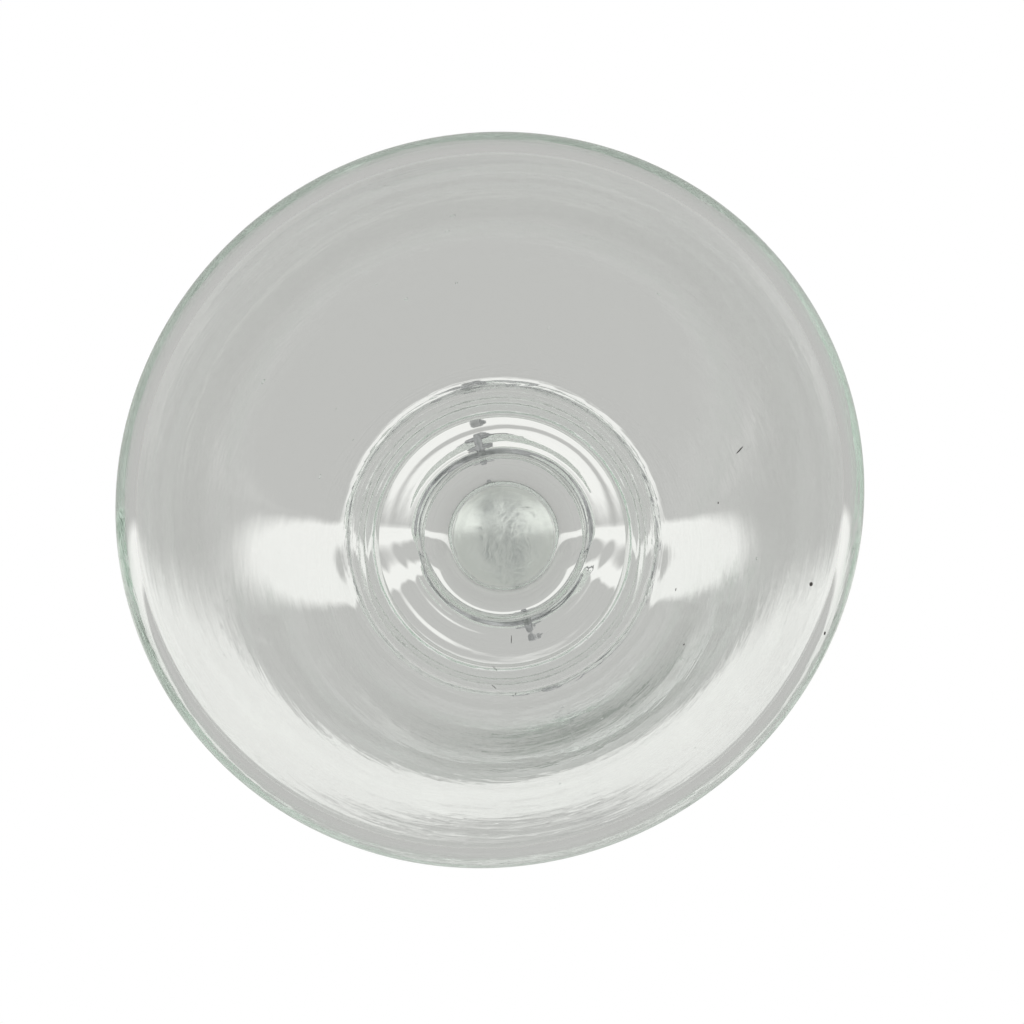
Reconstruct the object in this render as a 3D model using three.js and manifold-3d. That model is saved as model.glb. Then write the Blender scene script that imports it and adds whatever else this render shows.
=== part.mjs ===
// A hand-blown glass wasp trap that hangs from a wire bail.
// One glass piece makes the dome, its rolled bottom edge, the cone that runs back up inside it to a
// round mouth, and the neck. A glass stopper closes the neck, a wire collar grips the neck under its
// lip, and a bail hooks into the collar's two eyes. Millimetres, +Z up, origin where a hook bears on
// the bail's top loop.

import * as THREE from "three";
import Module from "manifold-3d";
import { mergeVertices } from "three/addons/utils/BufferGeometryUtils.js";

const wasm = await Module();
wasm.setup();

// Driving sizes of the glass. Heights are above the resting rim.
const wall = 3.2;
const baseRadius = 77.5; // outside of the bottom roll
const rollHeight = 10; // where the roll is widest
const rimInset = 6; // from the roll's middle line in to the resting rim
const rimFlat = 2.4; // width of the flat that the glass rests on when it is set down
const mouthRadius = 27.5; // clear radius of the mouth
const mouthHeight = 40; // top of the mouth's lip
const mouthBead = 2.4; // half thickness of the fire-polished lip
const throatFlare = 8.5; // from the mouth's clear radius out to where the cone turns up into the throat
const throatHeight = 24;
const throatBend = 4; // how far the turn reaches from the throat's corner
const lipBend = 7; // how far the throat stays upright below the lip
const coneSlope = 0.9; // fall of the cone over its run, next to the throat
const coneFullness = 0.3; // length of the cone's curve handles, as a share of its run
const domeFullness = 0.41; // length of the dome's curve handles, as a share of its rise and its run
const shoulderHeight = 112; // where the dome meets the neck
const neckFillet = 5; // of the wall's middle line
const boreRadius = 13.5;
const neckHeight = 148; // top of the neck's lip
const neckBead = 2.2; // half thickness of the neck's lip
const lipFlare = 2.9; // how far the neck's lip stands out past the neck
const flareHeight = 9; // height of the stretch where the neck opens to its lip
const flareLean = 0.5; // how far the flare leans out where it meets the lip

// Extra glass on the inside of the dome. It is thick all round the neck, and heavy on one side.
const collarStart = 36; // radius where the thick shoulder begins, and its growth towards the neck
const collarSlope = 0.42;
const collarSoftness = 2;
const heavyStart = 65; // radius where the heavy side begins to thicken towards the neck
const heavyEnd = 42; // radius where it reaches its full thickness
const heavySlope = 0.27;
const heavySoftness = 1.5;
const heavyAngle = THREE.MathUtils.degToRad(15);
const heavyFade = -0.1; // cosines of the angle from the heavy side where it begins and is full
const heavyFull = 0.45;

// Hand-blown irregularity: the bottom roll sits off the neck's axis, and is slightly oval.
const rimOffset = 9.2;
const ovality = 0.016;
const ovalAngle = THREE.MathUtils.degToRad(76);

// Driving sizes of the stopper.
const fitGap = 0.3; // between pieces that touch
const shankLength = 36; // below the neck's lip
const shankRound = 3.5;
const headInset = 0.2; // from the neck's lip in to the edge of the stopper's head
const headRound = 3;
const headHeight = 21;
const liftMargin = 4; // of the stopper above the neck when it is lifted clear

// Driving sizes of the wire.
const wireRadius = 0.9;
const armClearance = 1.3; // between the bail's arms and the lip
const hookPlay = 0.5; // between a hook of the bail and the eye that it hangs in
const archClearance = 7; // between the lifted stopper and the bail's arch
const loopRadius = 6; // centre line of the bail's top loop

// Numbers of facets.
const glassSegments = 36;
const capSteps = 6;
const arcSteps = 3;
const bailSteps = 40;
const wireSides = 8;
const loopSegments = 16;

// Sizes that follow from the driving ones.
const half = wall / 2;
const rollRadius = baseRadius - half;
const rimRadius = rollRadius - rimInset;
const throatRadius = mouthRadius + throatFlare;
const neckRadius = boreRadius + half;
const neckOuter = boreRadius + wall;
const lipRadius = neckOuter + lipFlare;
const headRadius = lipRadius - headInset;
const collarRadius = neckOuter + fitGap + wireRadius;
const eyeX = lipRadius + armClearance + wireRadius;
const eyeRadius = eyeX - collarRadius;
const hookRadius = 2 * wireRadius + hookPlay;
const flareStart = neckHeight - neckBead - flareHeight;
const collarHeight = flareStart - wireRadius;
const hingeHeight = collarHeight + eyeRadius;
const headTop = neckHeight + fitGap + headHeight;
const stopperLift = shankLength + liftMargin;
const archHeight = headTop + stopperLift + archClearance - eyeX / 2;
const loopHeight = archHeight + eyeX + loopRadius;
const hangHeight = loopHeight + loopRadius - wireRadius;

const glassFinish = { color: 0xdfeae4, roughness: 0.04, metalness: 0 };
const wireFinish = { color: 0xa9abac, roughness: 0.35, metalness: 1 };

function node(name, geometry, finish) {
  const mesh = new THREE.Mesh(geometry, new THREE.MeshStandardMaterial(finish));
  mesh.name = name;
  return mesh;
}

function toSolid(geometry) {
  const bare = geometry.clone();
  bare.deleteAttribute("normal");
  bare.deleteAttribute("uv");
  const merged = mergeVertices(bare, 1e-4);
  const vertProperties = merged.attributes.position.array;
  const triVerts = new Uint32Array(merged.index.array);
  return new wasm.Manifold(new wasm.Mesh({ numProp: 3, vertProperties, triVerts }));
}

function joined(geometries) {
  const solid = geometries.map(toSolid).reduce((sum, next) => sum.add(next));
  const mesh = solid.getMesh();
  const geometry = new THREE.BufferGeometry();
  geometry.setAttribute("position", new THREE.BufferAttribute(mesh.vertProperties, 3));
  geometry.setIndex(new THREE.BufferAttribute(mesh.triVerts, 1));
  return geometry;
}

// Points on a half circle that closes the end of a wall, from one face round to the other.
function endCap(end, along, across, thickness) {
  const points = [];
  for (let i = 1; i < capSteps; i++) {
    const angle = (Math.PI * i) / capSteps;
    const point = end.clone();
    point.addScaledVector(across, thickness * Math.cos(angle));
    point.addScaledVector(along, thickness * Math.sin(angle));
    points.push(point);
  }
  return points;
}

// The middle of the glass wall, from the mouth's lip, down the cone, round the roll and up the neck.
// Each stretch is a curve, the number of facets it takes, half the wall's thickness at its two ends, and
// how much of the extra glass its inside takes at its two ends.
function glassStretches() {
  const point = (radius, height) => new THREE.Vector2(radius, height);
  const mouth = point(mouthRadius + mouthBead, mouthHeight - mouthBead);
  const throat = point(throatRadius, throatHeight);
  const rimInner = point(rimRadius - rimFlat / 2, half);
  const rimOuter = point(rimRadius + rimFlat / 2, half);
  const roll = point(rollRadius, rollHeight);
  const shoulder = point(neckRadius + neckFillet, shoulderHeight);
  const neckBottom = point(neckRadius, shoulderHeight + neckFillet);
  const neckTop = point(neckRadius, flareStart);
  const lip = point(lipRadius - neckBead, neckHeight - neckBead);
  // A curve that leaves each end along a straight handle of the given length.
  const curve = (from, fromX, fromY, toX, toY, to) =>
    new THREE.CubicBezierCurve(from, point(from.x + fromX, from.y + fromY), point(to.x + toX, to.y + toY), to);
  const domeRise = shoulder.y - roll.y;
  const domeRun = roll.x - shoulder.x;
  const rollRun = roll.x - rimOuter.x;
  const rollRise = roll.y - rimOuter.y;
  const coneReach = coneFullness * (rimInner.x - throat.x);
  const flareReach = flareHeight / 3;
  const quarter = 0.55; // handle of a quarter of an ellipse, as a share of its radius
  return [
    [curve(mouth, 0, -lipBend, -throatBend, throatBend * coneSlope, throat), 5, mouthBead, half, 0, 0],
    [curve(throat, coneReach, -coneReach * coneSlope, -coneReach, 0, rimInner), 6, half, half, 0, 0],
    [new THREE.LineCurve(rimInner, rimOuter), 1, half, half, 0, 0],
    [curve(rimOuter, quarter * rollRun, 0, 0, -quarter * rollRise, roll), 5, half, half, 0, 0],
    [curve(roll, 0, domeFullness * domeRise, domeFullness * domeRun, 0, shoulder), 12, half, half, 1, 1],
    [curve(shoulder, -quarter * neckFillet, 0, 0, -quarter * neckFillet, neckBottom), 4, half, half, 1, 0],
    [new THREE.LineCurve(neckBottom, neckTop), 1, half, half, 0, 0],
    [curve(neckTop, 0, flareReach, -flareLean * flareReach, -flareReach, lip), 3, half, neckBead, 0, 0],
  ];
}

// The closed outline of the glass: its outer face, the neck's lip, its inner face and the mouth's lip.
// Points on the inside of the dome also say which way, and by what share, extra glass moves them.
function glassProfile() {
  const outer = [];
  const inner = [];
  const ends = [];
  for (const [curve, steps, startHalf, endHalf, startShare, endShare] of glassStretches()) {
    for (let i = outer.length ? 1 : 0; i <= steps; i++) {
      const point = curve.getPoint(i / steps);
      const along = curve.getTangent(i / steps);
      const across = new THREE.Vector2(along.y, -along.x);
      const thickness = THREE.MathUtils.lerp(startHalf, endHalf, i / steps);
      const share = THREE.MathUtils.lerp(startShare, endShare, i / steps) ** 3;
      outer.push(point.clone().addScaledVector(across, thickness));
      const inside = point.clone().addScaledVector(across, -thickness);
      inside.inward = across.clone().multiplyScalar(-share);
      inner.push(inside);
      ends.push({ point, along, across });
    }
  }
  const neck = ends.at(-1);
  const mouth = ends[0];
  const neckCap = endCap(neck.point, neck.along, neck.across, neckBead);
  const mouthCap = endCap(mouth.point, mouth.along.negate(), mouth.across.negate(), mouthBead);
  return [...outer, ...neckCap, ...inner.reverse(), ...mouthCap, outer[0].clone()];
}

// Moves the wide rings of the glass off the neck's axis and makes them oval, and leaves the neck true.
function makeHandBlown(geometry) {
  const position = geometry.attributes.position;
  const major = new THREE.Vector2(Math.cos(ovalAngle), Math.sin(ovalAngle));
  for (let i = 0; i < position.count; i++) {
    const ring = new THREE.Vector2(position.getX(i), position.getY(i));
    const amount = THREE.MathUtils.smoothstep(ring.length(), throatRadius, rollRadius);
    const along = major.dot(ring);
    const across = ring.clone().addScaledVector(major, -along);
    const stretched = major.clone().multiplyScalar(along * (1 + ovality * amount));
    stretched.addScaledVector(across, 1 - ovality * amount);
    position.setX(i, stretched.x - rimOffset * amount);
    position.setY(i, stretched.y);
  }
  return geometry;
}

function softRamp(x, softness) {
  return softness * Math.log1p(Math.exp(x / softness));
}

// Thickness of the extra glass at a ring of the dome, by the angle round the neck.
function extraGlass(radius, angle) {
  const side = THREE.MathUtils.smoothstep(Math.cos(angle - heavyAngle), heavyFade, heavyFull);
  const rise = softRamp(heavyStart - radius, heavySoftness) - softRamp(heavyEnd - radius, heavySoftness);
  return heavySlope * side * rise + collarSlope * softRamp(collarStart - radius, collarSoftness);
}

// How far the extra glass moves each vertex of the turned profile.
function extraGlassMoves(geometry, profile) {
  const position = geometry.attributes.position;
  const moves = [];
  for (let i = 0; i < position.count; i++) {
    const { inward } = profile[i % profile.length];
    if (inward) {
      const ring = new THREE.Vector2(position.getX(i), position.getY(i));
      const extra = extraGlass(ring.length(), ring.angle());
      const outwards = ring.normalize().multiplyScalar(inward.x * extra);
      moves.push(new THREE.Vector3(outwards.x, outwards.y, inward.y * extra));
    } else {
      moves.push(new THREE.Vector3());
    }
  }
  return moves;
}

function upright(geometry) {
  return geometry.rotateX(Math.PI / 2);
}

function glassBody() {
  const profile = glassProfile();
  const geometry = upright(new THREE.LatheGeometry(profile, glassSegments));
  const moves = extraGlassMoves(geometry, profile);
  const position = makeHandBlown(geometry).attributes.position;
  moves.forEach((move, i) => {
    position.setXYZ(i, position.getX(i) + move.x, position.getY(i) + move.y, position.getZ(i) + move.z);
  });
  return node("glass_body", geometry, glassFinish);
}

function glassStopper() {
  const shankRadius = boreRadius - fitGap;
  const bottom = neckHeight - shankLength;
  const seat = neckHeight + fitGap;
  const headEdge = seat + headRound;
  const outline = new THREE.Path();
  outline.moveTo(0, bottom);
  outline.lineTo(shankRadius - shankRound, bottom);
  outline.absarc(shankRadius - shankRound, bottom + shankRound, shankRound, -Math.PI / 2, 0);
  outline.lineTo(shankRadius, seat);
  outline.lineTo(headRadius - headRound, seat);
  outline.absarc(headRadius - headRound, headEdge, headRound, -Math.PI / 2, 0);
  outline.absellipse(0, headEdge, headRadius, headTop - headEdge, 0, Math.PI / 2);
  const points = outline.getPoints(arcSteps);
  return node("glass_stopper", upright(new THREE.LatheGeometry(points, glassSegments)), glassFinish);
}

function ring(radius) {
  return new THREE.TorusGeometry(radius, wireRadius, wireSides, loopSegments);
}

function neckWire() {
  const band = new THREE.TorusGeometry(collarRadius, wireRadius, wireSides, 2 * loopSegments);
  band.translate(0, 0, collarHeight);
  const eyes = [-1, 1].map((side) =>
    ring(eyeRadius)
      .rotateX(Math.PI / 2)
      .translate(side * eyeX, 0, collarHeight),
  );
  return node("neck_wire", joined([band, ...eyes]), wireFinish);
}

// The bail's centre line: up one arm, over the round arch and down the other.
class BailCurve extends THREE.Curve {
  getPoint(share, target = new THREE.Vector3()) {
    const armLength = archHeight - hingeHeight - hookRadius;
    const archLength = Math.PI * eyeX;
    const travel = share * (2 * armLength + archLength) - armLength;
    const angle = THREE.MathUtils.clamp(travel / eyeX, 0, Math.PI);
    const drop = Math.max(0, -travel, travel - archLength);
    return target.set(-eyeX * Math.cos(angle), 0, archHeight + eyeX * Math.sin(angle) - drop);
  }
}

function bailWire() {
  const section = new THREE.Shape().absarc(0, 0, wireRadius, 0, 2 * Math.PI);
  const options = { extrudePath: new BailCurve(), steps: bailSteps, curveSegments: wireSides };
  const arm = new THREE.ExtrudeGeometry(section, options);
  const hooks = [-1, 1].map((side) =>
    ring(hookRadius)
      .rotateY(Math.PI / 2)
      .translate(side * eyeX, 0, hingeHeight),
  );
  const topLoop = ring(loopRadius)
    .rotateX(Math.PI / 2)
    .translate(0, 0, loopHeight);
  return node("bail_wire", joined([arm, ...hooks, topLoop]), wireFinish);
}

const waspTrap = new THREE.Group();
waspTrap.add(glassBody(), glassStopper(), neckWire(), bailWire());
waspTrap.position.z = -hangHeight;

export default waspTrap;
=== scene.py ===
import math

import bmesh
import bpy
import numpy as np
from mathutils import Matrix, Vector
from mathutils.bvhtree import BVHTree


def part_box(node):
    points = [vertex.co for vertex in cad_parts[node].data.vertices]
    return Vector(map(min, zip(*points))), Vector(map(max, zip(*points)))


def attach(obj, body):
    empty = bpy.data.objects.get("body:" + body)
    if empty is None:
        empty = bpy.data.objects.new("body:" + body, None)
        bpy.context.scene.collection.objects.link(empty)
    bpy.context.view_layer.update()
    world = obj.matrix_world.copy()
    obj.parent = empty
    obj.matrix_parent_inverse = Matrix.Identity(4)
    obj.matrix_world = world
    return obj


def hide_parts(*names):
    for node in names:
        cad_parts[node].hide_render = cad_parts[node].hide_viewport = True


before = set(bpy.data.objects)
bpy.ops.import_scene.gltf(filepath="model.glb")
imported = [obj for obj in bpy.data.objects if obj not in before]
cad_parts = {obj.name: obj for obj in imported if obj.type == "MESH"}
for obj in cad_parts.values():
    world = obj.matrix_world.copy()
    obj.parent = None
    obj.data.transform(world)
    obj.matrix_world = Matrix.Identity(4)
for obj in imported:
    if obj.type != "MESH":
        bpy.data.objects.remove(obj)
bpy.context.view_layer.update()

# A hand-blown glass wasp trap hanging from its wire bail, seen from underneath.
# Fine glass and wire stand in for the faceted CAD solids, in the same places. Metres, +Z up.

MM = 0.001

# ---------------------------------------------------------------- sizes of the part, in millimetres
WALL = 3.2
BASE_RADIUS = 77.5
ROLL_HEIGHT = 10.0
RIM_INSET = 6.0
RIM_FLAT = 2.4
MOUTH_RADIUS = 27.5
MOUTH_HEIGHT = 40.0
MOUTH_BEAD = 2.4
THROAT_FLARE = 8.5
THROAT_HEIGHT = 24.0
THROAT_BEND = 4.0
LIP_BEND = 7.0
CONE_SLOPE = 0.9
CONE_FULLNESS = 0.3
DOME_FULLNESS = 0.41
SHOULDER_HEIGHT = 112.0
NECK_FILLET = 5.0
BORE_RADIUS = 13.5
NECK_HEIGHT = 148.0
NECK_BEAD = 2.2
LIP_FLARE = 2.9
FLARE_HEIGHT = 9.0
FLARE_LEAN = 0.5
RIM_OFFSET = 9.2
OVALITY = 0.016
OVAL_ANGLE = math.radians(76)
FIT_GAP = 0.3
SHANK_LENGTH = 36.0
SHANK_ROUND = 3.5
WIRE_RADIUS = 0.9
HEAD_INSET = 0.2
HEAD_ROUND = 3.0
ARM_CLEARANCE = 1.3
HOOK_PLAY = 0.5
ARCH_CLEARANCE = 7.0
LOOP_RADIUS = 6.0
LIFT_MARGIN = 4.0
HEAD_HEIGHT = 21.0
HEAVY_SIDE = math.radians(15)  # the side of the trap where the glass settled thickest
HEAVY_START = 65.0  # radius where the dome begins to thicken towards the neck
HEAVY_END = 42.0  # and where it stops
HEAVY_SLOPE = 0.27
HEAVY_FADE = -0.1  # cosine of the angle from the heavy side where the extra glass begins
HEAVY_FULL = 0.45  # and where it reaches its full thickness
HEAVY_SOFTNESS = 1.5
COLLAR_START = 36.0  # radius where the thick shoulder round the neck begins
COLLAR_SLOPE = 0.42
COLLAR_SOFTNESS = 2.0

HALF = WALL / 2
ROLL_RADIUS = BASE_RADIUS - HALF
RIM_RADIUS = ROLL_RADIUS - RIM_INSET
THROAT_RADIUS = MOUTH_RADIUS + THROAT_FLARE
NECK_RADIUS = BORE_RADIUS + HALF
LIP_RADIUS = BORE_RADIUS + WALL + LIP_FLARE
HEAD_RADIUS = LIP_RADIUS - HEAD_INSET
FLARE_START = NECK_HEIGHT - NECK_BEAD - FLARE_HEIGHT
BASE_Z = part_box("glass_body")[0][2] / MM  # height of the resting rim in the row frame


# The picture's right and up, as directions in the row frame, with the camera looking up along +Z.
ROLL = math.radians(15.3)
RIGHT_IN_PICTURE = Vector((math.sin(ROLL), -math.cos(ROLL), 0))
UP_IN_PICTURE = Vector((-math.cos(ROLL), -math.sin(ROLL), 0))
CAMERA_DISTANCE = 0.42
PICTURE_WIDTH = 0.2094  # what the picture spans at the resting rim


# ---------------------------------------------------------------- mesh helpers
def new_object(name, verts, faces):
    mesh = bpy.data.meshes.new(name)
    mesh.from_pydata([tuple(v) for v in verts], [], faces)
    mesh.validate()
    mesh.polygons.foreach_set("use_smooth", [True] * len(mesh.polygons))
    mesh.update()
    piece = bpy.data.objects.new(name, mesh)
    bpy.context.scene.collection.objects.link(piece)
    return piece


def bezier(a, b, c, d, steps):
    t = np.linspace(0, 1, steps + 1)[:, None]
    a, b, c, d = (np.array(p, float) for p in (a, b, c, d))
    point = (1 - t) ** 3 * a + 3 * (1 - t) ** 2 * t * b + 3 * (1 - t) * t**2 * c + t**3 * d
    slope = 3 * ((1 - t) ** 2 * (b - a) + 2 * (1 - t) * t * (c - b) + t**2 * (d - c))
    return point, slope


def smoothstep(x, low, high):
    t = np.clip((x - low) / (high - low), 0, 1)
    return t * t * (3 - 2 * t)


# ---------------------------------------------------------------- glass body
DOME = 4  # place of the dome in the list of stretches


def glass_stretches():
    """Bezier stretches of the wall's middle line, with their facets and half thickness at each end."""
    mouth = (MOUTH_RADIUS + MOUTH_BEAD, MOUTH_HEIGHT - MOUTH_BEAD)
    throat = (THROAT_RADIUS, THROAT_HEIGHT)
    rim_in = (RIM_RADIUS - RIM_FLAT / 2, HALF)
    rim_out = (RIM_RADIUS + RIM_FLAT / 2, HALF)
    roll = (ROLL_RADIUS, ROLL_HEIGHT)
    shoulder = (NECK_RADIUS + NECK_FILLET, SHOULDER_HEIGHT)
    neck_low = (NECK_RADIUS, SHOULDER_HEIGHT + NECK_FILLET)
    neck_top = (NECK_RADIUS, FLARE_START)
    lip = (LIP_RADIUS - NECK_BEAD, NECK_HEIGHT - NECK_BEAD)
    reach = CONE_FULLNESS * (rim_in[0] - throat[0])
    flare = FLARE_HEIGHT / 3
    quarter = 0.55
    run, rise = roll[0] - rim_out[0], roll[1] - rim_out[1]
    dome_run, dome_rise = roll[0] - shoulder[0], shoulder[1] - roll[1]

    def curve(a, ax, ay, dx, dy, d, steps, start, end):
        return (a, (a[0] + ax, a[1] + ay), (d[0] + dx, d[1] + dy), d, steps, start, end)

    def straight(a, d, steps):
        x, y = (d[0] - a[0]) / 3, (d[1] - a[1]) / 3
        return curve(a, x, y, -x, -y, d, steps, HALF, HALF)

    q = quarter * NECK_FILLET
    return [
        curve(mouth, 0, -LIP_BEND, -THROAT_BEND, THROAT_BEND * CONE_SLOPE, throat, 22, MOUTH_BEAD, HALF),
        curve(throat, reach, -reach * CONE_SLOPE, -reach, 0, rim_in, 44, HALF, HALF),
        straight(rim_in, rim_out, 3),
        curve(rim_out, quarter * run, 0, 0, -quarter * rise, roll, 16, HALF, HALF),
        curve(roll, 0, DOME_FULLNESS * dome_rise, DOME_FULLNESS * dome_run, 0, shoulder, 200, HALF, HALF),
        curve(shoulder, -q, 0, 0, -q, neck_low, 14, HALF, HALF),
        straight(neck_low, neck_top, 22),
        curve(neck_top, 0, flare, -FLARE_LEAN * flare, -flare, lip, 12, HALF, NECK_BEAD),
    ]


def wall_outline():
    """The closed outline of the wall, and how each of its points may move to thicken the inside.

    Returns the points, the direction into the chamber, and a share that fades out along the neck."""
    outer, inner, middle, across, share = [], [], [], [], []
    stretches = glass_stretches()
    for index, (a, b, c, d, steps, start, end) in enumerate(stretches):
        point, slope = bezier(a, b, c, d, steps)
        slope /= np.linalg.norm(slope, axis=1)[:, None]
        normal = np.stack([slope[:, 1], -slope[:, 0]], axis=1)
        thick = np.linspace(start, end, steps + 1)[:, None]
        first = 1 if outer else 0
        outer.extend(list(point + normal * thick)[first:])
        inner.extend(list(point - normal * thick)[first:])
        middle.extend(list(point)[first:])
        across.extend(list(normal)[first:])
        if index == DOME:
            amount = np.ones(steps + 1)
        elif index == DOME + 1:
            amount = np.linspace(1, 0, steps + 1) ** 3
        else:
            amount = np.zeros(steps + 1)
        share.extend(list(amount)[first:])

    def cap(end, along, side, radius, steps=12):
        angles = [math.pi * i / steps for i in range(1, steps)]
        return [end + radius * (math.cos(a) * side + math.sin(a) * along) for a in angles]

    def along(normal):
        return np.array([-normal[1], normal[0]])

    neck_cap = cap(middle[-1], along(across[-1]), across[-1], NECK_BEAD)
    mouth_cap = cap(middle[0], -along(across[0]), -across[0], MOUTH_BEAD)
    points = np.array(outer + neck_cap + inner[::-1] + mouth_cap)
    inward = np.zeros_like(points)
    amount = np.zeros(len(points))
    first = len(outer) + len(neck_cap)
    last = first + len(inner)
    inward[first:last] = -np.array(across[::-1])
    amount[first:last] = share[::-1]
    return points, inward, amount


def chamber_thickness(radius, angle):
    """Extra glass on the inside of the dome, in millimetres: heavy near the neck, and most on one side."""
    side = smoothstep(np.cos(angle - HEAVY_SIDE), HEAVY_FADE, HEAVY_FULL)
    rise = soft_ramp(HEAVY_START - radius, HEAVY_SOFTNESS) - soft_ramp(HEAVY_END - radius, HEAVY_SOFTNESS)
    heavy = HEAVY_SLOPE * side * rise
    collar = COLLAR_SLOPE * soft_ramp(COLLAR_START - radius, COLLAR_SOFTNESS)
    return heavy + collar + turning_marks(radius, angle)


def soft_ramp(x, softness):
    return softness * np.logaddexp(0, x / softness)


def turning_marks(radius, angle):
    """Ring-shaped ridges that the glassworker's tools left round the shoulder, in millimetres."""
    near_neck = smoothstep(radius, 15, 19) * (1 - smoothstep(radius, 32, 40))
    marks = 0
    for period, height, turns, start in ((5.9, 0.11, 1, 0.4), (3.7, 0.08, 2, 2.1), (2.3, 0.05, 3, 4.4)):
        drift = 0.8 * np.sin(turns * angle + start)
        patchy = 0.65 + 0.35 * np.sin((turns + 1) * angle + 2.3 * start)
        marks = marks + height * patchy * np.sin(2 * math.pi * radius / period + drift)
    return near_neck * marks


def hand_blown(radius, angle):
    """Where a ring of the glass lies: its place off the neck's axis and its oval, as the CAD has them."""
    x, y = radius * np.cos(angle), radius * np.sin(angle)
    amount = smoothstep(radius, THROAT_RADIUS, ROLL_RADIUS)
    major = np.array([math.cos(OVAL_ANGLE), math.sin(OVAL_ANGLE)])
    along = x * major[0] + y * major[1]
    across_x, across_y = x - along * major[0], y - along * major[1]
    x = major[0] * along * (1 + OVALITY * amount) + across_x * (1 - OVALITY * amount)
    y = major[1] * along * (1 + OVALITY * amount) + across_y * (1 - OVALITY * amount)
    return x - RIM_OFFSET * amount, y


def lathe(outline, segments, closed, place):
    """Turns an outline of (radius, height) about the axis; place gives each point's x and y."""
    angles = 2 * math.pi * np.arange(segments) / segments
    radius, angle = np.meshgrid(outline[:, 0], angles)
    x, y = place(radius, angle)
    z = np.broadcast_to(outline[:, 1], radius.shape)
    verts = np.stack([x, y, z], axis=2).reshape(-1, 3)
    count = len(outline)
    faces = []
    for j in range(segments):
        k = (j + 1) % segments
        for i in range(count if closed else count - 1):
            n = (i + 1) % count
            faces.append((j * count + i, k * count + i, k * count + n, j * count + n))
    return verts, faces


def to_row(verts):
    return (verts + np.array([0, 0, BASE_Z])) * MM


def blown_glass():
    outline, inward, share = wall_outline()
    segments = 192
    verts, faces = lathe(outline, segments, True, hand_blown)
    verts = verts.reshape(segments, len(outline), 3)
    angle = 2 * math.pi * np.arange(segments)[:, None] / segments
    extra = share * chamber_thickness(outline[:, 0], angle)
    verts[:, :, 0] += extra * inward[:, 0] * np.cos(angle)
    verts[:, :, 1] += extra * inward[:, 0] * np.sin(angle)
    verts[:, :, 2] += extra * inward[:, 1]
    return new_object("blown_glass", to_row(verts.reshape(-1, 3)), faces)


# ---------------------------------------------------------------- stopper
def on_axis(radius, angle):
    return radius * np.cos(angle), radius * np.sin(angle)


def arc(centre, rx, ry, start, end, steps):
    a = np.linspace(start, end, steps + 1)
    return [(centre[0] + rx * math.cos(t), centre[1] + ry * math.sin(t)) for t in a]


def ground_stopper():
    shank, bottom = BORE_RADIUS - FIT_GAP, NECK_HEIGHT - SHANK_LENGTH
    seat = NECK_HEIGHT + FIT_GAP
    edge = seat + HEAD_ROUND
    right = math.pi / 2
    outline = [(0.0, bottom)]
    outline += arc((shank - SHANK_ROUND, bottom + SHANK_ROUND), SHANK_ROUND, SHANK_ROUND, -right, 0, 10)
    outline.append((shank, seat))
    outline += arc((HEAD_RADIUS - HEAD_ROUND, edge), HEAD_ROUND, HEAD_ROUND, -right, 0, 8)
    outline += arc((0, edge), HEAD_RADIUS, HEAD_HEIGHT - HEAD_ROUND, 0, right, 30)[1:]
    outline = np.array(outline)
    verts, faces = lathe(outline, 128, False, on_axis)
    piece = new_object("ground_stopper", to_row(verts), faces)
    merge(piece)
    return piece


def merge(piece, distance=1e-6):
    bm = bmesh.new()
    bm.from_mesh(piece.data)
    bmesh.ops.remove_doubles(bm, verts=bm.verts, dist=distance)
    bmesh.ops.recalc_face_normals(bm, faces=bm.faces)
    bm.to_mesh(piece.data)
    bm.free()


# ---------------------------------------------------------------- materials
def material(name):
    made = bpy.data.materials.new(name)
    made.use_nodes = True
    made.node_tree.nodes.clear()
    return made, made.node_tree


GLASS_IOR = 1.5
BODY_TINT, BODY_DENSITY = (0.84, 0.93, 0.87), 7
STOPPER_TINT, STOPPER_DENSITY = (0.84, 0.93, 0.85), 9
GROUND_ROUGHNESS, POLISHED_ROUGHNESS = 0.24, 0.01
SWIRL_DEPTH = 0.0007


def glass_material(name, tint, density):
    made, tree = material(name)
    out = tree.nodes.new("ShaderNodeOutputMaterial")
    shader = tree.nodes.new("ShaderNodeBsdfPrincipled")
    shader.inputs["Base Color"].default_value = (1, 1, 1, 1)
    shader.inputs["Transmission Weight"].default_value = 1
    shader.inputs["Roughness"].default_value = 0.0
    shader.inputs["IOR"].default_value = GLASS_IOR
    absorb = tree.nodes.new("ShaderNodeVolumeAbsorption")
    absorb.inputs["Color"].default_value = (*tint, 1)
    absorb.inputs["Density"].default_value = density
    tree.links.new(shader.outputs[0], out.inputs["Surface"])
    tree.links.new(absorb.outputs[0], out.inputs["Volume"])
    return made


STREAK_SCALE = 150  # streaks across a metre of wall
STREAK_TURN = 1.1  # how much they change on the way round
STREAK_DEPTH = 0.00009


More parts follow.
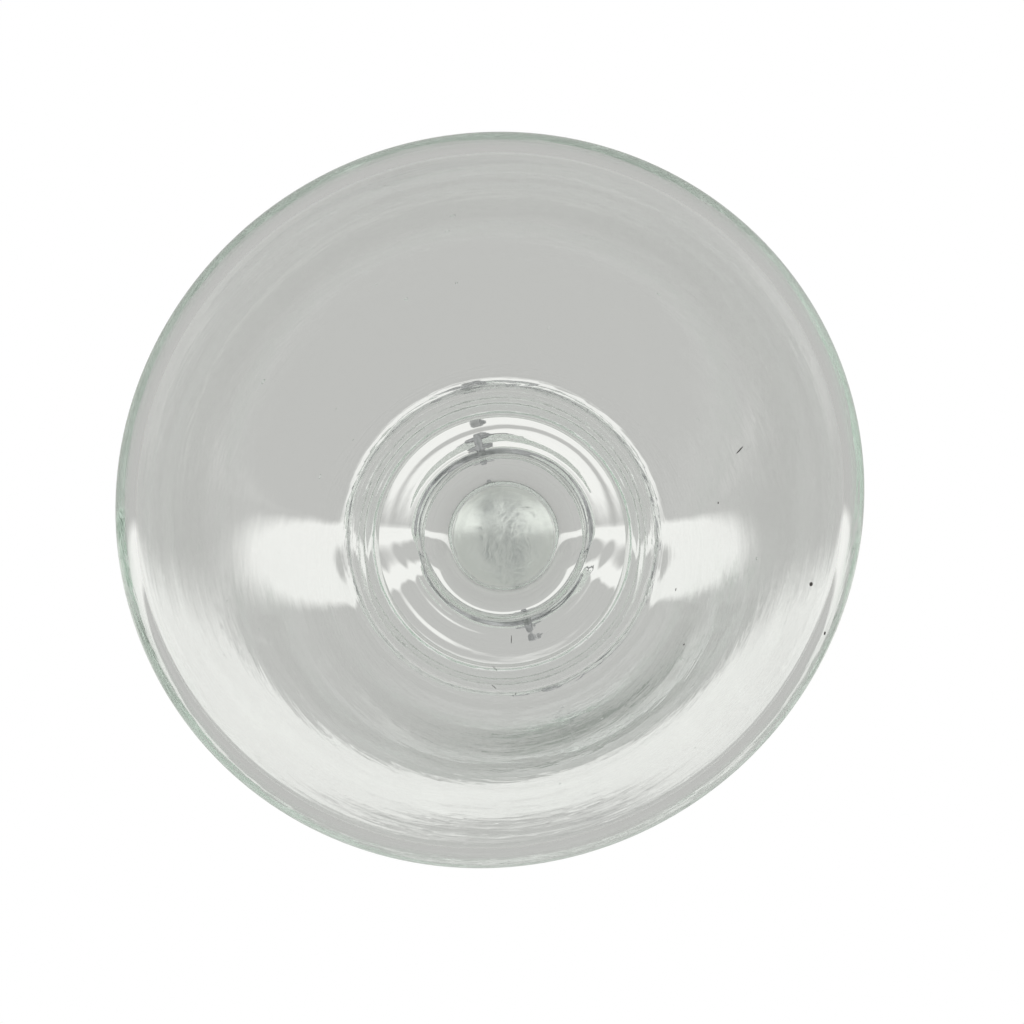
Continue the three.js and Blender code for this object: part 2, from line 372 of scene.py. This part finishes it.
def add_ream(made):
    """Faint streaks that run round the glass, as the gather was turned, under the fire-polished skin."""
    tree = made.node_tree
    shader = next(n for n in tree.nodes if n.type == "BSDF_PRINCIPLED")
    link = tree.links.new
    coord = tree.nodes.new("ShaderNodeTexCoord")
    flat = tree.nodes.new("ShaderNodeVectorMath")
    flat.operation = "MULTIPLY"
    flat.inputs[1].default_value = (1, 1, 0)
    reach = tree.nodes.new("ShaderNodeVectorMath")
    reach.operation = "LENGTH"
    round_way = tree.nodes.new("ShaderNodeVectorMath")
    round_way.operation = "NORMALIZE"
    split = tree.nodes.new("ShaderNodeSeparateXYZ")
    split_round = tree.nodes.new("ShaderNodeSeparateXYZ")
    link(coord.outputs["Object"], flat.inputs[0])
    link(coord.outputs["Object"], split.inputs[0])
    link(flat.outputs[0], reach.inputs[0])
    link(flat.outputs[0], round_way.inputs[0])
    link(round_way.outputs[0], split_round.inputs[0])

    def scaled(socket, factor, add):
        made_node = tree.nodes.new("ShaderNodeMath")
        made_node.operation = "MULTIPLY_ADD"
        made_node.inputs[1].default_value = factor
        link(socket, made_node.inputs[0])
        if add is None:
            made_node.inputs[2].default_value = 0
        else:
            link(add, made_node.inputs[2])
        return made_node.outputs[0]

    where = tree.nodes.new("ShaderNodeCombineXYZ")
    turned_x = scaled(split_round.outputs["X"], STREAK_TURN, None)
    link(scaled(reach.outputs["Value"], STREAK_SCALE, None), where.inputs[0])
    link(scaled(split.outputs["Z"], STREAK_SCALE, turned_x), where.inputs[1])
    link(scaled(split_round.outputs["Y"], STREAK_TURN, None), where.inputs[2])
    noise = tree.nodes.new("ShaderNodeTexNoise")
    noise.inputs["Scale"].default_value = 1
    noise.inputs["Detail"].default_value = 4
    noise.inputs["Roughness"].default_value = 0.55
    bump = tree.nodes.new("ShaderNodeBump")
    bump.inputs["Strength"].default_value = 1
    bump.inputs["Distance"].default_value = STREAK_DEPTH
    link(where.outputs[0], noise.inputs["Vector"])
    link(noise.outputs["Fac"], bump.inputs["Height"])
    link(bump.outputs["Normal"], shader.inputs["Normal"])


def ground_glass_material():
    """Ground shank and pontil end with soft swirls, and a fire-polished head above the neck."""
    made = glass_material("stopper_glass", STOPPER_TINT, STOPPER_DENSITY)
    tree = made.node_tree
    shader = next(n for n in tree.nodes if n.type == "BSDF_PRINCIPLED")
    coord = tree.nodes.new("ShaderNodeTexCoord")
    split = tree.nodes.new("ShaderNodeSeparateXYZ")
    polish = tree.nodes.new("ShaderNodeMapRange")
    seat = (BASE_Z + NECK_HEIGHT) * MM
    limits = (seat - 0.002, seat + 0.001, GROUND_ROUGHNESS, POLISHED_ROUGHNESS)
    for socket, value in zip(polish.inputs[1:5], limits):
        socket.default_value = value
    tree.links.new(coord.outputs["Object"], split.inputs[0])
    tree.links.new(split.outputs["Z"], polish.inputs[0])
    tree.links.new(polish.outputs[0], shader.inputs["Roughness"])
    swirl = tree.nodes.new("ShaderNodeTexNoise")
    swirl.inputs["Scale"].default_value = 90
    swirl.inputs["Detail"].default_value = 3
    swirl.inputs["Distortion"].default_value = 2.5
    bump = tree.nodes.new("ShaderNodeBump")
    bump.inputs["Strength"].default_value = 1
    bump.inputs["Distance"].default_value = SWIRL_DEPTH
    tree.links.new(coord.outputs["Object"], swirl.inputs["Vector"])
    tree.links.new(swirl.outputs["Fac"], bump.inputs["Height"])
    tree.links.new(bump.outputs["Normal"], shader.inputs["Normal"])
    return made


def wire_material():
    """Galvanised steel: dull zinc with a faint spangle, drawn along the wire."""
    made, tree = material("galvanised_wire")
    link = tree.links.new
    out = tree.nodes.new("ShaderNodeOutputMaterial")
    shader = tree.nodes.new("ShaderNodeBsdfPrincipled")
    shader.inputs["Metallic"].default_value = 1
    coord = tree.nodes.new("ShaderNodeTexCoord")
    spangle = tree.nodes.new("ShaderNodeTexVoronoi")
    spangle.inputs["Scale"].default_value = 900
    grain = tree.nodes.new("ShaderNodeTexNoise")
    grain.inputs["Scale"].default_value = 260
    grain.inputs["Detail"].default_value = 6
    tone = tree.nodes.new("ShaderNodeValToRGB")
    tone.color_ramp.elements[0].color = (0.34, 0.35, 0.36, 1)
    tone.color_ramp.elements[1].color = (0.66, 0.67, 0.68, 1)
    tone.color_ramp.elements[0].position = 0.3
    tone.color_ramp.elements[1].position = 0.7
    rough = tree.nodes.new("ShaderNodeMapRange")
    rough.inputs[3].default_value = 0.28
    rough.inputs[4].default_value = 0.5
    bump = tree.nodes.new("ShaderNodeBump")
    bump.inputs["Strength"].default_value = 0.5
    bump.inputs["Distance"].default_value = 0.00005
    link(coord.outputs["Object"], spangle.inputs["Vector"])
    link(coord.outputs["Object"], grain.inputs["Vector"])
    link(grain.outputs["Fac"], tone.inputs[0])
    link(tone.outputs[0], shader.inputs["Base Color"])
    link(spangle.outputs["Distance"], rough.inputs[0])
    link(rough.outputs[0], shader.inputs["Roughness"])
    link(grain.outputs["Fac"], bump.inputs["Height"])
    link(bump.outputs["Normal"], shader.inputs["Normal"])
    link(shader.outputs[0], out.inputs["Surface"])
    return made


def bubble_material():
    """Air in the glass: light bends back as it leaves the glass."""
    made, tree = material("seed_bubbles")
    out = tree.nodes.new("ShaderNodeOutputMaterial")
    shader = tree.nodes.new("ShaderNodeBsdfPrincipled")
    shader.inputs["Transmission Weight"].default_value = 1
    shader.inputs["Roughness"].default_value = 0
    shader.inputs["IOR"].default_value = 1 / GLASS_IOR
    shader.inputs["Base Color"].default_value = (1, 1, 1, 1)
    tree.links.new(shader.outputs[0], out.inputs["Surface"])
    return made


def speck_material():
    made, tree = material("ash_specks")
    out = tree.nodes.new("ShaderNodeOutputMaterial")
    shader = tree.nodes.new("ShaderNodeBsdfPrincipled")
    noise = tree.nodes.new("ShaderNodeTexNoise")
    noise.inputs["Scale"].default_value = 4000
    tone = tree.nodes.new("ShaderNodeValToRGB")
    tone.color_ramp.elements[0].color = (0.02, 0.02, 0.02, 1)
    tone.color_ramp.elements[1].color = (0.12, 0.11, 0.10, 1)
    tree.links.new(noise.outputs["Fac"], tone.inputs[0])
    tree.links.new(tone.outputs[0], shader.inputs["Base Color"])
    shader.inputs["Roughness"].default_value = 0.7
    tree.links.new(shader.outputs[0], out.inputs["Surface"])
    return made


# ---------------------------------------------------------------- wire
WIRE_SIDES = 14


def tube(path, closed):
    """A round wire along a path of points in millimetres, with its section carried along smoothly."""
    path = [Vector(p) for p in path]
    count = len(path)
    verts, faces = [], []
    side = None
    for i, point in enumerate(path):
        ahead = path[(i + 1) % count] if closed or i < count - 1 else point
        behind = path[i - 1] if closed or i > 0 else point
        along = (ahead - behind).normalized()
        if side is None:
            side = along.orthogonal().normalized()
        side = (side - along * side.dot(along)).normalized()
        up = along.cross(side)
        for k in range(WIRE_SIDES):
            turn = 2 * math.pi * k / WIRE_SIDES
            verts.append(point + WIRE_RADIUS * (math.cos(turn) * side + math.sin(turn) * up))
    for i in range(count if closed else count - 1):
        n = (i + 1) % count
        shift = twist_to_close(verts, count) if closed and n == 0 else 0
        for k in range(WIRE_SIDES):
            j = (k + 1) % WIRE_SIDES
            far_j, far_k = (j + shift) % WIRE_SIDES, (k + shift) % WIRE_SIDES
            near, far = i * WIRE_SIDES, n * WIRE_SIDES
            faces.append((near + k, near + j, far + far_j, far + far_k))
    if not closed:
        faces.append(tuple(range(WIRE_SIDES))[::-1])
        faces.append(tuple(range((count - 1) * WIRE_SIDES, count * WIRE_SIDES)))
    return verts, faces


def twist_to_close(verts, count):
    """How many sides the last ring has turned against the first, so that a closed wire meets itself."""
    last = verts[(count - 1) * WIRE_SIDES]
    gaps = [(verts[k] - last).length for k in range(WIRE_SIDES)]
    return gaps.index(min(gaps))


def circle(centre, radius, first, second, steps=72):
    first, second, centre = Vector(first), Vector(second), Vector(centre)
    turns = [2 * math.pi * i / steps for i in range(steps)]
    return [centre + radius * (math.cos(t) * first + math.sin(t) * second) for t in turns]


def joined(solids):
    verts, faces = [], []
    for more_verts, more_faces in solids:
        start = len(verts)
        verts.extend(more_verts)
        faces.extend(tuple(i + start for i in face) for face in more_faces)
    return verts, faces


def wire_object(name, tubes):
    verts, faces = joined(tubes)
    rows = to_row(np.array([tuple(v) for v in verts]))
    return new_object(name, rows, faces)


X, Y, Z = (1, 0, 0), (0, 1, 0), (0, 0, 1)
COLLAR_RADIUS = BORE_RADIUS + WALL + FIT_GAP + WIRE_RADIUS
EYE_X = LIP_RADIUS + ARM_CLEARANCE + WIRE_RADIUS
EYE_RADIUS = EYE_X - COLLAR_RADIUS
HOOK_RADIUS = 2 * WIRE_RADIUS + HOOK_PLAY
COLLAR_HEIGHT = FLARE_START - WIRE_RADIUS
HINGE_HEIGHT = COLLAR_HEIGHT + EYE_RADIUS
HEAD_TOP = NECK_HEIGHT + FIT_GAP + HEAD_HEIGHT
STOPPER_LIFT = SHANK_LENGTH + LIFT_MARGIN
ARCH_HEIGHT = HEAD_TOP + STOPPER_LIFT + ARCH_CLEARANCE - EYE_X / 2
LOOP_HEIGHT = ARCH_HEIGHT + EYE_X + LOOP_RADIUS


def collar_wire():
    band = tube(circle((0, 0, COLLAR_HEIGHT), COLLAR_RADIUS, X, Y, 144), True)
    eyes = [tube(circle((side * EYE_X, 0, COLLAR_HEIGHT), EYE_RADIUS, X, Z), True) for side in (-1, 1)]
    return wire_object("collar_wire", [band, *eyes])


HOOK_RUN = 2.2  # height of the bend from the arm into the hook, in hook radii
HOOK_TURN = math.radians(285)


def hook(side):
    """From the arm down round the collar's eye and back up, ending beside the arm."""
    points = []
    bend = HOOK_RUN * HOOK_RADIUS
    for i in range(13):
        share = i / 12
        ease = share * share * (3 - 2 * share)
        points.append((side * EYE_X, HOOK_RADIUS * ease, HINGE_HEIGHT + bend * (1 - share)))
    for i in range(1, 41):
        turn = HOOK_TURN * i / 40
        y, drop = HOOK_RADIUS * math.cos(turn), HOOK_RADIUS * math.sin(turn)
        points.append((side * EYE_X, y, HINGE_HEIGHT - drop))
    return points


def bail():
    arch = [
        (-EYE_X * math.cos(math.pi * i / 64), 0, ARCH_HEIGHT + EYE_X * math.sin(math.pi * i / 64))
        for i in range(65)
    ]
    run = tube(hook(-1)[::-1] + arch + hook(1), False)
    loop = tube(circle((0, 0, LOOP_HEIGHT), LOOP_RADIUS, X, Z), True)
    return wire_object("bail", [run, loop, *(tube(wrap(side), False) for side in (-1, 1))])


# The wrap beside the loop, in wire radii: its start, the pitch of its turns and its reach from the arch.
WRAP_START, WRAP_PITCH, WRAP_REACH = 1.6, 2.1, 2.02
WRAP_TURNS = 3.5


def wrap(side):
    """Turns of the loop's wire tail round the arch, beside the loop."""
    points = []
    step = WRAP_PITCH * WIRE_RADIUS
    for i in range(int(WRAP_TURNS * 24) + 1):
        turn = 2 * math.pi * i / 24
        along = side * (WRAP_START * WIRE_RADIUS + step * turn / (2 * math.pi)) / EYE_X
        out = EYE_X + WRAP_REACH * WIRE_RADIUS * math.cos(turn)
        y = WRAP_REACH * WIRE_RADIUS * math.sin(turn)
        points.append((out * math.sin(along), y, ARCH_HEIGHT + out * math.cos(along)))
    return points


# ---------------------------------------------------------------- flaws in the glass
def ellipsoid(centre, axes, around=10, down=6):
    """A small closed ellipsoid with its three half axes given as vectors."""
    verts = [centre + axes[2], centre - axes[2]]
    faces = []
    for i in range(1, down):
        slope = math.pi * i / down
        for k in range(around):
            turn = 2 * math.pi * k / around
            flat = math.cos(turn) * axes[0] + math.sin(turn) * axes[1]
            verts.append(centre + math.sin(slope) * flat + math.cos(slope) * axes[2])
    for k in range(around):
        n = (k + 1) % around
        faces.append((0, 2 + k, 2 + n))
        for i in range(down - 2):
            a, b = 2 + i * around, 2 + (i + 1) * around
            faces.append((a + k, b + k, b + n, a + n))
        last = 2 + (down - 2) * around
        faces.append((last + k, 1, last + n))
    return verts, faces


def seed_bubbles(count=46):
    """Small bubbles in the middle of the wall, drawn out round the glass."""
    rng = np.random.default_rng(7)
    stretches = glass_stretches()
    solids = []
    for _ in range(count):
        stretch = stretches[rng.choice([1, 1, 0, DOME, DOME])]
        point, _slope = bezier(*stretch[:4], 40)
        radius, height = point[rng.integers(3, 30)]
        angle = rng.uniform(0, 2 * math.pi)
        x, y = hand_blown(np.array(radius), np.array(angle))
        size = rng.uniform(0.10, 0.26)
        stretch_out = rng.uniform(1.2, 3.2)
        centre = Vector((float(x), float(y), height + BASE_Z)) * MM
        round_way = Vector((-math.sin(angle), math.cos(angle), 0))
        outward = Vector((math.cos(angle), math.sin(angle), 0))
        axes = (outward * size * MM, round_way * size * stretch_out * MM, Vector((0, 0, size * MM)))
        solids.append(ellipsoid(centre, axes))
    return new_object("seed_bubbles", *joined(solids))


SPECK_HALF_THICKNESS = 0.06  # in millimetres
# Specks of ash on the cone and the roll: distance from the rim's centre in millimetres, direction in
# degrees from +X, then length, half width and slant from the outward direction.
SPECKS = (
    (53, -86, 2.4, 0.14, -29),
    (48, -74, 0.5, 0.16, -70),
    (68, -60, 0.7, 0.45, 0),
    (74, -53, 0.6, 0.40, -20),
    (44, -49, 0.7, 0.12, -106),
    (51, -38, 0.5, 0.14, -67),
    (37, 14, 3.0, 0.09, -1),
    (35, 8, 2.2, 0.09, 9),
)


def ash_specks(body):
    mesh = body.data
    tree = BVHTree.FromPolygons([v.co for v in mesh.vertices], [p.vertices[:] for p in mesh.polygons])
    solids = []
    for reach, direction, length, width, slant in SPECKS:
        turn, lean = math.radians(direction), math.radians(direction + slant)
        spot = reach * MM * Vector((math.cos(turn), math.sin(turn), 0))
        start = spot + Vector((-RIM_OFFSET, 0, BASE_Z - 5)) * MM
        hit, normal, _index, _distance = tree.ray_cast(start, Vector((0, 0, 1)))
        along = Vector((math.cos(lean), math.sin(lean), 0))
        along = (along - normal * along.dot(normal)).normalized()
        across = normal.cross(along)
        axes = (along * length / 2 * MM, across * width * MM, normal * SPECK_HALF_THICKNESS * MM)
        solids.append(ellipsoid(hit, axes))
    return new_object("ash_specks", *joined(solids))


# ---------------------------------------------------------------- studio
# A plain soft light: a grey wall, a pale table, and a broad soft light just below eye level.
# Heights run from straight down in the picture, -1, over eye level, 0, to straight up, 1.
WALL_LEVEL = 0.5
TABLE_LEVEL = 0.5
SOFT_LIGHT_LEVEL = 0.9
SOFT_LIGHT_LOW = -0.2
SOFT_LIGHT_HIGH = -0.02
SOFT_EDGE = 0.04
DAYLIGHT = (1.0, 1.004, 0.972)  # the warm white of a room, as shares of red, green and blue


def world_light():
    """White behind the object for the camera; the glass sees the wall, the soft light and the table."""
    world = bpy.data.worlds.new("studio")
    bpy.context.scene.world = world
    world.use_nodes = True
    tree = world.node_tree
    tree.nodes.clear()
    out = tree.nodes.new("ShaderNodeOutputWorld")
    seen = tree.nodes.new("ShaderNodeBackground")
    seen.inputs[0].default_value = (1, 1, 1, 1)
    light = tree.nodes.new("ShaderNodeBackground")
    coord = tree.nodes.new("ShaderNodeTexCoord")
    dot = tree.nodes.new("ShaderNodeVectorMath")
    dot.operation = "DOT_PRODUCT"
    dot.inputs[1].default_value = UP_IN_PICTURE
    spread = tree.nodes.new("ShaderNodeMapRange")
    spread.inputs[1].default_value = -1
    spread.inputs[2].default_value = 1
    ramp = tree.nodes.new("ShaderNodeValToRGB")
    stops = ramp.color_ramp.elements
    levels = (
        (SOFT_LIGHT_LOW - SOFT_EDGE, TABLE_LEVEL), (SOFT_LIGHT_LOW, SOFT_LIGHT_LEVEL),
        (SOFT_LIGHT_HIGH - SOFT_EDGE, SOFT_LIGHT_LEVEL), (SOFT_LIGHT_HIGH, WALL_LEVEL),
    )
    for _extra in levels[2:]:
        stops.new(0.5)
    for stop, (height, value) in zip(stops, levels):
        stop.position = (height + 1) / 2
        stop.color = (*(value * part for part in DAYLIGHT), 1)
    path = tree.nodes.new("ShaderNodeLightPath")
    mix = tree.nodes.new("ShaderNodeMixShader")
    link = tree.links.new
    link(coord.outputs["Generated"], dot.inputs[0])
    link(dot.outputs["Value"], spread.inputs[0])
    link(spread.outputs[0], ramp.inputs[0])
    link(ramp.outputs[0], light.inputs[0])
    link(path.outputs["Is Camera Ray"], mix.inputs[0])
    link(light.outputs[0], mix.inputs[1])
    link(seen.outputs[0], mix.inputs[2])
    link(mix.outputs[0], out.inputs[0])


FLOOR_HALF_SIZE = 6.0
FLOOR_DROP = 0.62  # below the resting rim, behind the camera
FLOOR_GLOW = 0.35


def floor():
    size = FLOOR_HALF_SIZE
    z = BASE_Z * MM - FLOOR_DROP
    verts = [(-size, -size, z), (size, -size, z), (size, size, z), (-size, size, z)]
    piece = new_object("floor", verts, [(0, 1, 2, 3)])
    made, tree = material("pale_floor")
    out = tree.nodes.new("ShaderNodeOutputMaterial")
    shader = tree.nodes.new("ShaderNodeBsdfDiffuse")
    shader.inputs[0].default_value = (0.8, 0.8, 0.8, 1)
    glow = tree.nodes.new("ShaderNodeEmission")
    glow.inputs[0].default_value = (1, 1, 1, 1)
    glow.inputs[1].default_value = FLOOR_GLOW
    both = tree.nodes.new("ShaderNodeAddShader")
    tree.links.new(shader.outputs[0], both.inputs[0])
    tree.links.new(glow.outputs[0], both.inputs[1])
    tree.links.new(both.outputs[0], out.inputs["Surface"])
    piece.data.materials.append(made)


SENSOR_WIDTH = 36
PICTURE_OFF_ROLL = 0.0046, -0.0025  # metres right and up from the roll's centre to the picture's


def camera():
    data = bpy.data.cameras.new("camera")
    made = bpy.data.objects.new("camera", data)
    bpy.context.scene.collection.objects.link(made)
    data.sensor_width = SENSOR_WIDTH
    data.lens = SENSOR_WIDTH * CAMERA_DISTANCE / PICTURE_WIDTH
    forward = Vector((0, 0, 1))
    rows = zip(RIGHT_IN_PICTURE, UP_IN_PICTURE, -forward)
    turn = Matrix([tuple(r) for r in rows]).to_4x4()
    right, up = PICTURE_OFF_ROLL
    centre = Vector((-RIM_OFFSET * MM, 0, BASE_Z * MM))
    centre += right * RIGHT_IN_PICTURE + up * UP_IN_PICTURE
    turn.translation = centre - forward * CAMERA_DISTANCE
    made.matrix_world = turn
    bpy.context.scene.camera = made


BOUNCES = 96  # light is reflected many times inside the thick rim before it leaves
bpy.context.scene.view_settings.view_transform = "Standard"
cycles = bpy.context.scene.cycles
cycles.max_bounces = BOUNCES
cycles.transmission_bounces = BOUNCES
cycles.glossy_bounces = BOUNCES
cycles.transparent_max_bounces = 16

body = blown_glass()
stopper = ground_stopper()
collar = collar_wire()
handle = bail()
bubbles = seed_bubbles()
specks = ash_specks(body)
clear_glass = glass_material("blown_glass", BODY_TINT, BODY_DENSITY)
add_ream(clear_glass)
wire = wire_material()
for piece, finish, rides, slot in (
    (body, clear_glass, "trap", "body_glass"),
    (stopper, ground_glass_material(), "stopper", "stopper_glass"),
    (collar, wire, "trap", "wire"),
    (handle, wire, "hanger", "wire"),
    (bubbles, bubble_material(), "trap", "body_glass"),
    (specks, speck_material(), "trap", "body_glass"),
):
    piece.data.materials.append(finish)
    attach(piece, rides)
for piece, node in (
    (body, "glass_body"), (stopper, "glass_stopper"), (collar, "neck_wire"), (handle, "bail_wire"),
):
    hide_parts(node)

world_light()
floor()
camera()
